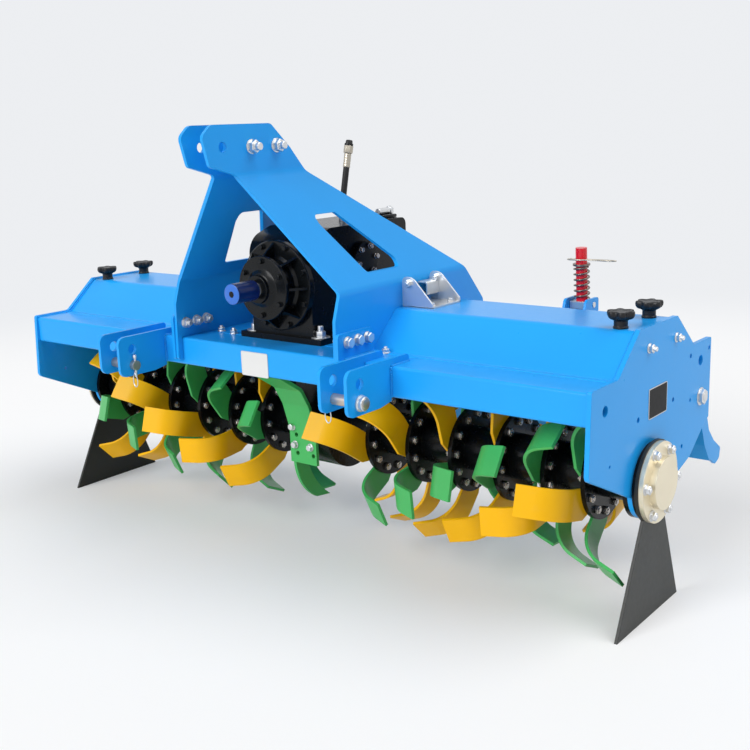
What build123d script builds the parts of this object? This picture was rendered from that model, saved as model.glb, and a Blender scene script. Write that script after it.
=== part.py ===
from build123d import *
from math import cos, sin, sqrt, tan, radians
import os

# Rotary tiller for a three-point linkage, standing on its two parking plates.
# Millimetres. +Z is up, the tractor is towards -Y and +X is the side with the spring rod.
# The origin is on the floor, under the middle of the whole machine.

# Rotor
rotor_y = -26.0
rotor_z = 344.0
rotor_radius = 266.0
rotor_middle_x = 27.0
drum_radius = 60.0
drum_wall = 10.0
drum_end_thickness = 30.0
drum_end_gap = 10.0
disc_radius = 118.0
disc_thickness = 12.0
end_disc_spacing = 110.0
end_tine_gap = 10.0
first_disc_offset = 195.0
discs_per_half = 6
tines_per_disc = 6
spiral_left = -20.4
spiral_right = -20.1
spiral_start_left = -34.4
spiral_start_right = 26.4
journal_radius = 30.0
journal_in_cap = 6.0
middle_shaft_radius = 28.0
middle_flange_thickness = 10.0
running_fit = 0.05

# Tine
tine_thickness = 8.0
tine_width = 78.0
tine_lead = 118.0
tine_reach = 107.0
tine_bend = 90.0
tine_turn = 70.0
tine_root = 46.0

# Beam
beam_half_length = 989.0
beam_front = -326.0
beam_depth = 110.0
beam_bottom = 544.0
beam_height = 80.0
beam_wall = 8.0

# End plates and hood
end_plate_thickness = 12.0
hood_thickness = 5.0
hood_lip_height = 24.0
hood_top = 718.0
hood_slope_y = -196.0
hood_front_bend_y = -90.0
hood_rear_bend_y = 121.0
hood_rear_y = 325.0
hood_rear_z = 545.0
hood_rear_lip_z = 512.0
hood_bend = 22.0
hood_lip_bend = 10.0

# Mast
mast_thickness = 10.0
mast_top_gap = 68.0
mast_foot_half_width = 301.0
mast_flat_height = 127.0
mast_lower_bend_z = 790.0
mast_bend = 30.0
mast_top_z = 1212.0
top_link_y = -442.0
top_link_drop = 55.0
top_link_bore = 26.0
spacer_drop = 57.0
spacer_front_y = -340.0
spacer_rear_y = -248.0
spacer_radius = 16.0
spacer_bore_radius = 10.0
window_low = 32.0
window_height = 152.0
foot_thickness = 10.0
foot_tongue_z = 561.0

# Lower hitch
clevis_spacing = 826.0
clevis_gap = 72.0
clevis_thickness = 10.0
hitch_y = -448.0
hitch_hole_z = 604.0
hitch_pin_z = 558.0
hitch_bore = 28.5
hitch_pin_diameter = 28.0

# Gearbox
shaft_z = 779.0
shaft_tip_y = -400.0
shaft_radius = 19.0
sleeve_radius = 27.5
sleeve_length = 76.0
input_hub_length = 95.0
gearbox_front = -215.0
gearbox_rear = 219.0
gearbox_half_width = 112.0
gearbox_top = 930.0
base_thickness = 16.0
base_half_width = 150.0
base_front = -229.0
case_half_width = 57.0
case_gap = 3.0
case_radius = 122.0

# Guard bar and share
guard_x = 31.0
guard_width = 98.0
guard_thickness = 10.0
guard_y = -190.0
guard_low_z = 262.0
share_thickness = 10.0

# Knobs and angle brackets on the hood
knob_inset = 48.0
knob_front_y = -69.0
knob_rear_y = 88.0
knob_stem_height = 24.0
knob_height = 18.0
bracket_gap = 4.0
bracket_length = 98.0
bracket_front_y = -62.0
bracket_depth = 128.0
bracket_sheet = 5.0
bracket_height = 83.0
bracket_bolt_radius = 6.0

# Bearing ends and parking plates
hub_radius = 70.0
hub_flange_thickness = 12.0
ring_thickness = 10.0
ring_radius = 95.0
stand_thickness = 8.0
stand_eye_radius = 103.0
stand_front = -222.0
stand_rear = 125.0
cap_flange_thickness = 12.0
cap_flange_radius = 100.0
cap_boss_radius = 65.0
cap_boss_height = 16.0
cap_wall = 6.0

# Trailing board
hinge_y = 285.0
hinge_z = 483.0
hinge_pin_radius = 11.0
board_thickness = 6.0
board_bend = 26.0
board_side_gap = 9.0
rib_thickness = 8.0

# Spring rod
rod_x = 630.0
rod_top_z = 848.0
rod_radius = 16.0
rod_lean = 3.04
rod_eye_y = 353.0
rod_eye_z = 463.0
rod_eye_radius = 20.0
rod_eye_thickness = 32.0
ear_gap = 2.0
ear_thickness = 6.0
eye_pin_radius = 8.0
eye_slack = 4.7
pivot_block_height = 227.0
collar_height = 336.0
cheek_thickness = 8.0
pivot_pin_radius = 8.0
spring_radius = 20.5
spring_wire = 5.0
spring_turns = 5

# Clearances
seat = 0.3
pin_fit = 0.05

beam_top = beam_bottom + beam_height
beam_rear = beam_front + beam_depth
end_plate_outer = beam_half_length + end_plate_thickness
stand_inner = end_plate_outer + ring_thickness
cap_inner = stand_inner + stand_thickness
cap_outer = cap_inner + cap_flange_thickness
base_top = beam_top + base_thickness
clevis_middle_x = clevis_spacing / 2
last_disc_offset = beam_half_length - end_tine_gap - tine_reach + tine_thickness - rotor_middle_x
disc_spacing = (last_disc_offset - end_disc_spacing - first_disc_offset) / (discs_per_half - 2)
mast_upper_bend_z = mast_top_z - mast_flat_height
top_link_z = mast_top_z - top_link_drop
spacer_z = mast_top_z - spacer_drop
deck_bend_y = hood_rear_y - (hood_rear_y - hood_rear_bend_y) * (
    (beam_top - hood_rear_z) / (hood_top - hood_rear_z))


def flat(*corners):
    """A closed flat outline; a third number in a corner rounds it."""
    face = make_face(Polyline(*[corner[:2] for corner in corners], close=True))
    for corner in corners:
        if len(corner) == 3:
            at = Vector(corner[0], corner[1])
            vertex = min(face.vertices(), key=lambda v: (Vector(v.X, v.Y) - at).length)
            face = fillet(vertex, corner[2])
    return face


def along_x(face, x_from, x_to):
    """Extrude an outline of (Y, Z) corners from one X to another."""
    return Pos(x_from, 0, 0) * extrude(Plane.YZ * face, x_to - x_from)


def along_y(face, y_from, y_to):
    """Extrude an outline of (X, Z) corners from one Y to another."""
    return Pos(0, y_to, 0) * extrude(Plane.XZ * face, y_to - y_from)


def along_z(face, z_from, z_to):
    """Extrude an outline of (X, Y) corners from one Z to another."""
    return Pos(0, 0, z_from) * extrude(face, z_to - z_from)


def block(x_range, y_range, z_range):
    """A box between two values on each axis."""
    ranges = (x_range, y_range, z_range)
    size = [high - low for low, high in ranges]
    middle = [(high + low) / 2 for low, high in ranges]
    return Pos(*middle) * Box(*size)


def bar_x(radius, x_from, x_to, y, z):
    """A round bar along X."""
    length = abs(x_to - x_from)
    return Pos((x_from + x_to) / 2, y, z) * Rot(0, 90, 0) * Cylinder(radius, length)


def bar_y(radius, y_from, y_to, x, z):
    """A round bar along Y."""
    length = abs(y_to - y_from)
    return Pos(x, (y_from + y_to) / 2, z) * Rot(90, 0, 0) * Cylinder(radius, length)


def bar_z(radius, z_from, z_to, x, y):
    """A round bar along Z."""
    length = abs(z_to - z_from)
    return Pos(x, y, (z_from + z_to) / 2) * Cylinder(radius, length)


def across(solid):
    """The same piece on the other side of the machine."""
    return mirror(solid, Plane.YZ)


def sheet_section(points, thickness, bend):
    """The section of a bent sheet that lies to the right of its outer line."""
    line = FilletPolyline(*points, radius=bend)
    return make_face(offset(line, thickness, side=Side.RIGHT))


def cord_radii(points):
    """The radius at each corner of a hose: as large as its two runs allow."""
    radii = []
    for before, corner, after in zip(points, points[1:], points[2:]):
        first = Vector(*corner) - Vector(*before)
        second = Vector(*after) - Vector(*corner)
        half_turn = radians(first.get_angle(second)) / 2
        radii.append(0.45 * min(first.length, second.length) / tan(half_turn))
    return radii


def save(node, *solids):
    """Write the solids of one node to its own file."""
    shape = solids[0] if len(solids) == 1 else Compound(children=list(solids))
    export_step(shape, f"parts/{node}.step")


def tine(side):
    """One tine with its shank upwards: a flat bar beside the axis, bent towards -X or +X."""
    turn = radians(tine_turn)
    tip_x = tine_reach - tine_thickness * cos(turn)
    tip_z = sqrt(rotor_radius ** 2 - tine_lead ** 2)
    corner_z = tip_z - tip_x / tan(turn)
    line = [(-tip_x, tip_z), (0, corner_z), (0, tine_root)]
    bar = along_y(sheet_section(line, tine_thickness, tine_bend), -tine_lead, tine_width - tine_lead)
    root_corner = flat((-tine_lead, tine_root), (-tine_lead, tine_root + 34), (18 - tine_lead, tine_root))
    bar -= along_x(root_corner, -tine_thickness, 0)
    if side > 0:
        bar = Pos(-tine_thickness, 0, 0) * across(bar)
    return bar


def rotor_half(side, spiral_start, spiral_step):
    """Drum with its discs, the tines bent towards -X and those towards +X."""
    offsets = [first_disc_offset + disc_spacing * n for n in range(discs_per_half - 1)]
    offsets.append(last_disc_offset)
    inner_end = rotor_middle_x + side * (case_half_width + case_gap + middle_flange_thickness)
    outer_end = side * (beam_half_length - hub_flange_thickness - drum_end_gap)
    drum = bar_x(drum_radius, inner_end, outer_end, rotor_y, rotor_z)
    tines = {-1: [], 1: []}
    patterns = {bend: tine(bend) for bend in tines}
    for n, offset in enumerate(offsets):
        near_face = rotor_middle_x + side * offset
        low_face = min(near_face, near_face + side * disc_thickness)
        drum += bar_x(disc_radius, low_face, low_face + disc_thickness, rotor_y, rotor_z)
        for k in range(tines_per_disc):
            bend = 1 if k % 2 == 0 else -1
            turn = spiral_start + spiral_step * n + 360 / tines_per_disc * k
            place = Pos(low_face, rotor_y, rotor_z) * Rot(90 + turn, 0, 0)
            tines[bend].append(place * patterns[bend])
    bore_end = outer_end - side * drum_end_thickness
    drum -= bar_x(drum_radius - drum_wall, inner_end, bore_end, rotor_y, rotor_z)
    drum += bar_x(journal_radius, outer_end, side * (cap_inner + journal_in_cap), rotor_y, rotor_z)
    return drum, tines[-1], tines[1]


def middle_shaft():
    """The shaft through the gear case, with the flanges that carry the two drums."""
    gap_half = case_half_width + case_gap
    flange_end = gap_half + middle_flange_thickness
    shaft = bar_x(
        middle_shaft_radius, rotor_middle_x - gap_half, rotor_middle_x + gap_half, rotor_y, rotor_z)
    for side in (-1, 1):
        near = rotor_middle_x + side * gap_half
        far = rotor_middle_x + side * flange_end
        shaft += bar_x(drum_radius, near, far, rotor_y, rotor_z)
    return shaft


def end_plate():
    """The +X end plate with its bearing hole and the holes for guards."""
    outline = flat(
        (-341, 430, 18), (-331, 629, 8), (-202, 629, 20), (-92, 723, 12), (121, 722, 12),
        (231, 630), (347, 630, 6), (347, 415), (311, 397), (226, 336), (164, 318, 20),
        (40, 300), (-92, 312))
    outline += Pos(rotor_y, rotor_z) * Circle(ring_radius)
    plate = along_x(outline, beam_half_length, end_plate_outer)
    plate -= bar_x(hub_radius + seat, beam_half_length, end_plate_outer, rotor_y, rotor_z)
    holes = (
        (-266, 571, 13), (-94, 510, 7), (107, 514, 6), (217, 488, 5), (212, 604, 6),
        (278, 580, 14), (335, 603, 6), (171, 377, 6), (-239, 436, 4),
        (hinge_y, hinge_z, hinge_pin_radius + pin_fit))
    for y, z, radius in holes:
        plate -= bar_x(radius, beam_half_length, end_plate_outer, y, z)
    return plate


def hood():
    """The +X half of the hood, a bent sheet from the beam to the board's hinge."""
    line = [
        (beam_rear, beam_top - hood_lip_height), (beam_rear, beam_top),
        (hood_slope_y, beam_top), (hood_front_bend_y, hood_top), (hood_rear_bend_y, hood_top),
        (hood_rear_y, hood_rear_z), (hood_rear_y, hood_rear_lip_z)]
    bends = [hood_lip_bend / 2, hood_lip_bend, hood_bend, hood_bend, hood_lip_bend]
    section = sheet_section(line, hood_thickness, bends)
    return along_x(section, mast_foot_half_width, beam_half_length)


def middle_hood():
    """The deck under the gearbox with its slot for the gear case."""
    line = [
        (beam_rear, beam_top), (deck_bend_y, beam_top),
        (hood_rear_y, hood_rear_z), (hood_rear_y, hood_rear_lip_z)]
    half = mast_foot_half_width
    section = sheet_section(line, hood_thickness, [hood_bend, hood_lip_bend])
    sheet = along_x(section, -half, half)
    slot = block(
        (rotor_middle_x - case_half_width - 2, rotor_middle_x + case_half_width + 2),
        (-140, 110), (beam_bottom, beam_top))
    return sheet - slot


def mast_plate():
    """The +X mast plate: upright, splayed, then upright again on the beam."""
    top_x = mast_top_gap / 2
    line = [
        (top_x + mast_thickness, mast_top_z), (top_x + mast_thickness, mast_upper_bend_z),
        (mast_foot_half_width, mast_lower_bend_z), (mast_foot_half_width, beam_bottom)]
    section = sheet_section(line, mast_thickness, mast_bend)
    bent = along_y(section, -520, 360)
    shoulder_z = mast_top_z - 64
    side_view = flat(
        (-477, mast_top_z, 26), (-509, mast_top_z - 28, 20), (-489, mast_top_z - 102, 14),
        (-401, mast_upper_bend_z, 16), (-318, mast_lower_bend_z, 20), (-341, 722, 20),
        (-345, foot_tongue_z, 8), (beam_front - seat, foot_tongue_z), (beam_front - seat, beam_top + seat),
        (343, beam_top + seat), (343, 682, 20), (246, mast_lower_bend_z, 30),
        (-139, mast_upper_bend_z, 20), (-195, shoulder_z, 10), (-266, mast_top_z, 24))
    low = mast_lower_bend_z + window_low
    high = low + window_height
    window = flat(
        (-224, high, 12), (-136, high, 16), (-23, low + 21, 18), (-32, low, 14),
        (-170, low, 14), (-224, high - 24, 12))
    plate = bent & along_x(side_view - window, 0, mast_foot_half_width)
    for y in (spacer_front_y, spacer_rear_y):
        plate -= bar_x(spacer_bore_radius, 0, mast_top_gap, y, spacer_z)
    return plate - bar_x(top_link_bore / 2, 0, mast_top_gap, top_link_y, top_link_z)


def mast_foot():
    """The bracket welded on the beam that a mast plate is bolted to."""
    outline = flat(
        (-347, foot_tongue_z, 8), (-347, 690, 12), (hood_slope_y - 9, 690, 12), (hood_slope_y - 9, beam_top),
        (beam_front, beam_top), (beam_front, foot_tongue_z))
    return along_x(outline, mast_foot_half_width, mast_foot_half_width + foot_thickness)


def clevis_plate(x_from):
    """One cheek of a lower-link clevis, wrapped over the beam's front."""
    outline = flat(
        (-495, 528, 22), (-495, 642, 22), (-250, 642, 10), (-250, beam_top),
        (beam_front, beam_top), (beam_front, beam_bottom - 8), (-370, 528, 30))
    plate = along_x(outline, x_from, x_from + clevis_thickness)
    plate -= bar_x(hitch_bore / 2, x_from, x_from + clevis_thickness, hitch_y, hitch_hole_z)
    plate -= bar_x(hitch_pin_diameter / 2 + pin_fit, x_from, x_from + clevis_thickness, hitch_y, hitch_pin_z)
    return plate


def gearbox():
    """The bevel gearbox on its base, with the ribbed input flange in front."""
    width = gearbox_half_width
    housing = along_x(flat(
        (gearbox_front, base_top), (gearbox_front, 900, 60), (gearbox_front + 90, gearbox_top, 30),
        (gearbox_rear, gearbox_top, 20), (gearbox_rear, base_top)), -width, width)
    base = block((-base_half_width, base_half_width), (base_front, gearbox_rear + 25), (beam_top, base_top))
    return housing + base


def input_flange():
    """The stepped input housing with its ribs."""
    turned = bar_y(124, gearbox_front - 18, gearbox_front, 0, shaft_z)
    turned += bar_y(72, gearbox_front - 60, gearbox_front - 18, 0, shaft_z)
    turned += bar_y(88, gearbox_front - 72, gearbox_front - 60, 0, shaft_z)
    turned += bar_y(38, gearbox_front - 95, gearbox_front - 72, 0, shaft_z)
    rib = block((-4, 4), (gearbox_front - 60, gearbox_front - 18), (shaft_z + 70, shaft_z + 104))
    for k in range(8):
        turned += Pos(0, 0, shaft_z) * Rot(0, 45 * k, 0) * Pos(0, 0, -shaft_z) * rib
    turned -= bar_y(shaft_radius + running_fit, gearbox_front - 95, gearbox_front, 0, shaft_z)
    return turned


def gear_case():
    """The case that takes the drive down to the middle of the rotor."""
    low = rotor_middle_x - case_half_width
    high = rotor_middle_x + case_half_width
    outline = flat((-150, rotor_z), (-130, beam_top), (100, beam_top), (98, rotor_z))
    outline += Pos(rotor_y, rotor_z) * Circle(case_radius)
    case = along_x(outline, low, high)
    return case - bar_x(middle_shaft_radius + running_fit, low, high, rotor_y, rotor_z)


def guard_bar():
    """The curved bar that hangs from the beam in front of the gear case."""
    line = [
        (guard_y, guard_low_z), (guard_y, guard_low_z + 98), (guard_y - 24, beam_bottom - 104),
        (guard_y - 54, beam_bottom - 51), (guard_y - 150, beam_bottom + 12)]
    section = sheet_section(line, guard_thickness, [90, 50, 20])
    low_x = guard_x - guard_width / 2
    bar = along_x(section, low_x, low_x + guard_width)
    return bar & block((low_x, low_x + guard_width), (beam_front, 0), (0, beam_bottom))


def share():
    """The curved share bolted behind the guard bar's lower end."""
    front = guard_y + guard_thickness + seat
    rear = front + 24
    outline = make_face([
        Line((front, guard_low_z + 90), (front, guard_low_z - 10)),
        ThreePointArc((front, guard_low_z - 10), (front + 22, guard_low_z - 75), (front + 82, guard_low_z - 134)),
        Line((front + 82, guard_low_z - 134), (front + 142, guard_low_z - 142)),
        ThreePointArc((front + 142, guard_low_z - 142), (front + 88, guard_low_z - 90), (front + 48, guard_low_z - 10)),
        Line((front + 48, guard_low_z - 10), (rear, guard_low_z + 90)),
        Line((rear, guard_low_z + 90), (front, guard_low_z + 90)),
    ])
    low_x = guard_x - guard_width / 2
    return along_x(outline, low_x, low_x + share_thickness)


def bearing_housing():
    """The +X rotor bearing: inner flange, hub through the end plate and outer ring."""
    housing = bar_x(ring_radius, beam_half_length - hub_flange_thickness, beam_half_length, rotor_y, rotor_z)
    housing += bar_x(hub_radius, beam_half_length, cap_inner, rotor_y, rotor_z)
    housing -= bar_x(journal_radius + running_fit, beam_half_length - hub_flange_thickness, cap_inner, rotor_y, rotor_z)
    ring = bar_x(ring_radius, end_plate_outer, stand_inner, rotor_y, rotor_z)
    ring -= bar_x(hub_radius + seat, end_plate_outer, stand_inner, rotor_y, rotor_z)
    return housing, ring


def bearing_cap():
    """The closed cap over the rotor's end."""
    cap = bar_x(cap_flange_radius, cap_inner, cap_outer, rotor_y, rotor_z)
    cap += bar_x(cap_boss_radius, cap_outer, cap_outer + cap_boss_height, rotor_y, rotor_z)
    hollow = cap_boss_radius - cap_wall
    cap -= bar_x(hollow, cap_inner, cap_outer + cap_boss_height - cap_wall, rotor_y, rotor_z)
    return cap


def stand_plate():
    """The parking plate that hangs under a rotor bearing."""
    outline = flat((stand_front, 0), (stand_rear, 0), (22, 270), (-86, 270))
    outline += Pos(rotor_y, rotor_z) * Circle(stand_eye_radius)
    plate = along_x(outline, stand_inner, cap_inner)
    return plate - bar_x(hub_radius + seat, stand_inner, cap_inner, rotor_y, rotor_z)


board_line = [(283, 465), (330, 425), (363, 383), (389, 323), (428, 269)]


def board():
    """The bent sheet of the trailing board with its end ribs and rod ears."""
    half = beam_half_length - board_side_gap
    sheet = along_x(sheet_section(board_line, board_thickness, board_bend), -half, half)
    rib_outline = flat(
        *board_line, (467, 244, 12), (497, 254, 12), (503, 284, 8), (452, 317, 30),
        (412, 357, 20), (398, 392, 20), (297, 499, 14), (268, 492, 12))
    pin_hole = hinge_pin_radius + pin_fit
    solid = sheet
    for x in (-half, half - rib_thickness):
        rib = along_x(rib_outline, x, x + rib_thickness)
        solid += rib - bar_x(pin_hole, x, x + rib_thickness, hinge_y, hinge_z)
    return solid


def board_ears():
    """The two ears on the board with the pin through the rod's eye."""
    outline = flat(
        (330, 425), (363, 383), (376, 462, 12), (rod_eye_y, rod_eye_z + 20, 14), (334, 462, 12))
    near = rod_eye_thickness / 2 + ear_gap
    far = near + ear_thickness
    ears = along_x(outline, rod_x - far, rod_x - near) + along_x(outline, rod_x + near, rod_x + far)
    return ears + bar_x(eye_pin_radius, rod_x - far - 3, rod_x + far + 3, rod_eye_y, rod_eye_z)


def on_rod(solid):
    """Lean a piece drawn on an upright rod axis to the rod's real slope."""
    return Pos(rod_x, rod_eye_y, rod_eye_z) * Rot(rod_lean, 0, 0) * solid


def spring_rod():
    """The rod with the slotted eye on the board's pin and the collar on the spring."""
    half = rod_eye_thickness / 2
    rod = bar_z(rod_radius, rod_eye_radius - 5, (rod_top_z - rod_eye_z) / cos(radians(rod_lean)), 0, 0)
    rod += bar_z(spring_radius + 3, collar_height, collar_height + 5, 0, 0)
    rod += bar_x(rod_eye_radius, -half, half, 0, 0)
    slot = SlotCenterToCenter(2 * eye_slack, 2 * (eye_pin_radius + 1))
    rod -= Pos(-half, 0, 0) * extrude(Plane.YZ * slot, 2 * half)
    return on_rod(rod)


def pivot_block():
    """The block between the rod bracket's cheeks that the rod slides through."""
    height = pivot_block_height
    solid = Pos(0, 0, height) * Box(54, 44, 20)
    solid += bar_x(pivot_pin_radius, -38, 38, 0, height)
    solid -= bar_z(rod_radius + 0.5, height - 12, height + 12, 0, 0)
    return on_rod(solid)


def rod_spring():
    """The coil spring between the pivot block and the rod's collar."""
    low = pivot_block_height + 10 + seat + spring_wire / 2
    high = collar_height - seat - spring_wire / 2
    path = Helix((high - low) / spring_turns, high - low, spring_radius)
    wire = Plane(path @ 0, z_dir=path % 0) * RegularPolygon(spring_wire / 2, 6)
    return on_rod(Pos(0, 0, low) * sweep(wire, path))


def rod_bracket():
    """The two cheeks on the hood that carry the pivot block."""
    lean = radians(rod_lean)
    pivot_y = rod_eye_y - pivot_block_height * sin(lean)
    pivot_z = rod_eye_z + pivot_block_height * cos(lean)
    slope = (hood_rear_z - hood_top) / (hood_rear_y - hood_rear_bend_y)
    foot_y = 262
    foot_z = hood_top + (foot_y - hood_rear_bend_y) * slope
    outline = flat(
        (foot_y, foot_z), (300, pivot_z + 18, 14), (370, pivot_z + 18, 8), (370, pivot_z - 20, 8),
        (hood_rear_y, 590, 20), (hood_rear_y, hood_rear_z))
    cheeks = []
    for x in (rod_x - 28 - cheek_thickness, rod_x + 28):
        cheek = along_x(outline, x, x + cheek_thickness)
        hole = bar_x(pivot_pin_radius + pin_fit, x, x + cheek_thickness, pivot_y, pivot_z)
        cheeks.append(cheek - hole)
    return cheeks


def knob(x, y):
    """A star knob on the hood."""
    low = hood_top + knob_stem_height
    stem = bar_z(15, hood_top, low, x, y)
    star = Circle(26)
    for k in range(6):
        star += Rot(0, 0, 60 * k) * Pos(24, 0) * Circle(9)
    return stem + Pos(x, y, low) * extrude(star, knob_height)


def lift_bracket():
    """The small angle bracket on the +X hood beside the mast."""
    low = mast_foot_half_width + bracket_gap
    high = low + bracket_length
    rear = bracket_front_y + bracket_depth
    foot = hood_top + bracket_sheet
    top = hood_top + bracket_height
    bracket = block((low, high), (bracket_front_y, rear), (hood_top, foot))
    outline = flat((low, foot), (low, top - 11, 14), (low + 26, top, 16), (high - 2, foot))
    for y in (bracket_front_y, rear - bracket_sheet):
        bracket += along_y(outline, y, y + bracket_sheet)
    return bracket + bar_y(bracket_bolt_radius, bracket_front_y - 4, rear + 4, low + 22, top - 16)


def main():
    os.makedirs("parts", exist_ok=True)

    beam = block((-beam_half_length, beam_half_length), (beam_front, beam_rear), (beam_bottom, beam_top))
    beam = fillet(beam.edges().filter_by(Axis.X), 8)
    beam -= block(
        (-beam_half_length, beam_half_length), (beam_front + beam_wall, beam_rear - beam_wall),
        (beam_bottom + beam_wall, beam_top - beam_wall))
    save("beam", beam)

    plate = end_plate()
    save("end_plate_right", plate)
    save("end_plate_left", across(plate))
    side_hood = hood()
    save("hood_right", side_hood)
    save("hood_left", across(side_hood))
    save("hood_middle", middle_hood())

    mast = mast_plate()
    save("mast_plate_right", mast)
    save("mast_plate_left", across(mast))
    foot = mast_foot()
    save("mast_foot_right", foot)
    save("mast_foot_left", across(foot))
    spacers = []
    for y in (spacer_front_y, spacer_rear_y):
        tube = bar_x(spacer_radius, -mast_top_gap / 2, mast_top_gap / 2, y, spacer_z)
        tube -= bar_x(spacer_bore_radius, -mast_top_gap / 2, mast_top_gap / 2, y, spacer_z)
        spacers.append(tube)
    save("mast_spacers", *spacers)

    inner_x = clevis_middle_x - clevis_gap / 2 - clevis_thickness
    outer_x = clevis_middle_x + clevis_gap / 2
    cheeks = [clevis_plate(inner_x), clevis_plate(outer_x)]
    save("clevis_right", *cheeks)
    save("clevis_left", *[across(cheek) for cheek in cheeks])
    pin = bar_x(hitch_pin_diameter / 2, inner_x - 14, outer_x + clevis_thickness + 14, hitch_y, hitch_pin_z)
    save("hitch_pins", pin, across(pin))

    save("gearbox_housing", gearbox())
    save("input_flange", input_flange())
    cover = bar_x(52, gearbox_half_width, gearbox_half_width + 14, 12, 827)
    save("side_covers", cover, across(cover))
    save("gear_case", gear_case())
    shaft = bar_y(shaft_radius, shaft_tip_y + 8, gearbox_front - 0.5, 0, shaft_z)
    save("input_shaft", shaft)
    sleeve = bar_y(sleeve_radius, shaft_tip_y, shaft_tip_y + sleeve_length, 0, shaft_z)
    sleeve -= bar_y(shaft_radius, shaft_tip_y + 8, shaft_tip_y + sleeve_length, 0, shaft_z)
    save("shaft_sleeve", sleeve)
    save("guard_bar", guard_bar())
    save("share", share())

    housing, ring = bearing_housing()
    save("bearing_right", housing)
    save("bearing_left", across(housing))
    save("bearing_rings", ring, across(ring))
    cap = bearing_cap()
    save("bearing_cap_right", cap)
    save("bearing_cap_left", across(cap))
    stand = stand_plate()
    save("stand_plate_right", stand)
    save("stand_plate_left", across(stand))

    save("rotor_shaft", middle_shaft())
    halves = (("left", -1, spiral_start_left, spiral_left), ("right", 1, spiral_start_right, spiral_right))
    for name, side, start, step in halves:
        drum, outward, inward = rotor_half(side, start, step)
        save(f"drum_{name}", drum)
        save(f"yellow_tines_{name}", *outward)
        save(f"green_tines_{name}", *inward)

    save("trailing_board", board())
    save("board_ears", board_ears())
    hinge = bar_x(hinge_pin_radius, beam_half_length - board_side_gap - rib_thickness, end_plate_outer + 14, hinge_y, hinge_z)
    save("hinge_pins", hinge, across(hinge))
    save("spring_rod", spring_rod())
    save("pivot_block", pivot_block())
    save("rod_spring", rod_spring())
    save("rod_bracket", *rod_bracket())

    knob_x = beam_half_length - knob_inset
    knobs = [knob(knob_x, knob_front_y), knob(knob_x, knob_rear_y)]
    save("hood_knobs", *knobs, *[across(one) for one in knobs])
    bracket = lift_bracket()
    save("lift_bracket_right", bracket)
    save("lift_bracket_left", across(bracket))

    hose_line = [(0, 66, 950), (0, 66, 980), (0, 77, 1030), (0, 89, 1080)]
    radii = cord_radii(hose_line)
    print("hose radii", [round(radius) for radius in radii])
    path = FilletPolyline(*hose_line, radius=radii)
    save("hose", sweep(Plane(path @ 0, z_dir=path % 0) * Circle(9), path))
    tip = Plane(path @ 1, z_dir=path % 1)
    end = extrude(tip * Circle(10), 40) + extrude(tip.offset(40) * RegularPolygon(12.5, 6), 24)
    end += extrude(tip.offset(64) * Circle(11), 15)
    save("hose_end", end)
    port = bar_z(14, gearbox_top, 950, 0, 66)
    save("hose_port", port)


main()
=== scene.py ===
# %% [markdown]
# # A three-point rotary tiller
# A rotary tiller hangs behind a tractor. The tractor's power shaft turns a rotor full of curved tines
# under a bent steel hood. The solid pieces come from a CAD model, in metres, with +Z up and the
# tractor towards -Y. This lesson dresses them: paint, bolts, welds, a spring, and a studio.

# %% Load the machine
import bpy
import math
from mathutils import Matrix, Vector


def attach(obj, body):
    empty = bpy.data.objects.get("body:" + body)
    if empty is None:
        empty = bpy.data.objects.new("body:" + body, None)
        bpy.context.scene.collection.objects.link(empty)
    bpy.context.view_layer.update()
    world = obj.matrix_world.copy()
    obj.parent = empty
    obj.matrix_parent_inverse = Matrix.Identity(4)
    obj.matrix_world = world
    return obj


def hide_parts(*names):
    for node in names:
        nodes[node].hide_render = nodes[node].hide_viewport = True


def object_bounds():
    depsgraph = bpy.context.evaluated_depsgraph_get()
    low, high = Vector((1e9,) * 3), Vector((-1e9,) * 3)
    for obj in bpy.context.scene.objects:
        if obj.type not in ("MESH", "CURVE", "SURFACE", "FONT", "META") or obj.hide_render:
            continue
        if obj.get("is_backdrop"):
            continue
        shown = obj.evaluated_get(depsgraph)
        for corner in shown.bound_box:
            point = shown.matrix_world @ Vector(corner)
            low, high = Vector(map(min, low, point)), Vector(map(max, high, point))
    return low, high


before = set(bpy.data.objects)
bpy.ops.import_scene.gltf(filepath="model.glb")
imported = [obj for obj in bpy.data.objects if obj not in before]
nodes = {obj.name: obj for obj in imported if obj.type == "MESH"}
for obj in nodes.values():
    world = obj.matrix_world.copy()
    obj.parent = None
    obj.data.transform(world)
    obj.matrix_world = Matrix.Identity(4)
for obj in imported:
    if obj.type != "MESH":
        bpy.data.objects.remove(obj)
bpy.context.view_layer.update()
bpy.ops.object.select_all(action="DESELECT")

# %% [markdown]
# ## The camera
# The picture was taken from the front, to the right of the machine and a little above it. A camera
# could be turned by eye until it looks right. Here its place and turn come from lines on the machine
# that are known to be level or upright, so the render can be laid over the picture. A long lens of
# about 51 mm keeps the beam's far end from shrinking too much.

# %% Camera
camera_place = Vector((2.0049, -2.3313, 1.1999))
camera_azimuth = math.radians(38.508)
camera_tilt = math.radians(13.266)
camera_roll = math.radians(-2.006)
sensor_width = 36.0
lens_over_width = 1063.59 / 750.0

bpy.ops.object.camera_add(location=camera_place)
camera = bpy.context.object
camera.name = "studio_camera"
aim = Matrix.Rotation(camera_azimuth, 3, "Z") @ Matrix.Rotation(math.pi / 2 - camera_tilt, 3, "X")
camera.rotation_euler = (aim @ Matrix.Rotation(camera_roll, 3, "Z")).to_euler()
camera.data.sensor_width = sensor_width
camera.data.lens = lens_over_width * sensor_width
bpy.context.scene.camera = camera
print("lens:", round(camera.data.lens, 2))

# %% [markdown]
# ## The room
# The machine stands in a white room with no visible corner. A curved backdrop could be modelled, but
# the world's colour does the same from any side. The world lights everything evenly. Only the camera,
# reflections and clear things see its pale backdrop, so its brightness and its light are set apart.

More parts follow.
